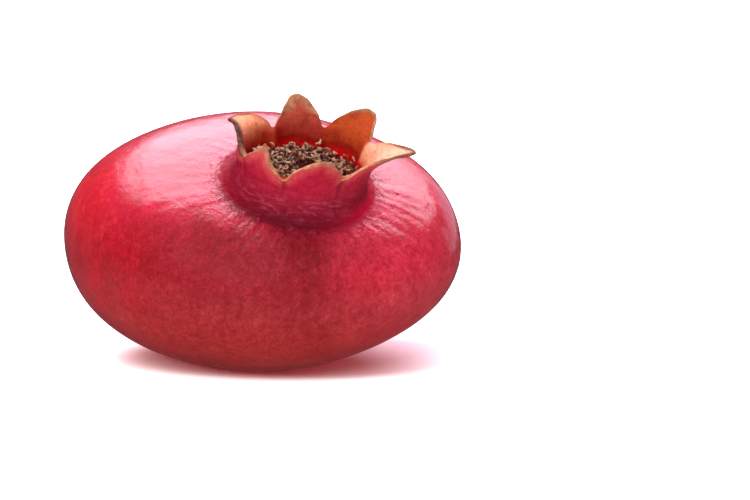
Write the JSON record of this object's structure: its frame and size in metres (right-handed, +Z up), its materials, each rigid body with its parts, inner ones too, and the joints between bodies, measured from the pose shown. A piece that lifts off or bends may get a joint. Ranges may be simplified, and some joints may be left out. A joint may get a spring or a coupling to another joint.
{
  "type": "pomegranate",
  "caption": "Whole ripe pomegranate resting on its underside, wider than deep, with a neck and an open crown of sepals round dried stamens.",
  "frame": {"origin": "middle of the small flat spot that the fruit rests on, on the surface below it", "axes": "+Z up, -Y towards the side that the crown leans to, +X to the right seen from that side, along the fruit's widest direction"},
  "size_m": [0.1079, 0.087, 0.0733],
  "materials": {
    "rind": "waxy, glossy leathery skin, crimson with a brighter red flank, wrinkled round the neck; the sepals turn orange inside, with tan dried edges",
    "dried_stamens": "dry and matt, red-brown filaments with grey-tan anthers"
  },
  "bodies": {
    "root": {"fruit": "rind", "stamens": "dried_stamens"}
  },
  "joints": []
}
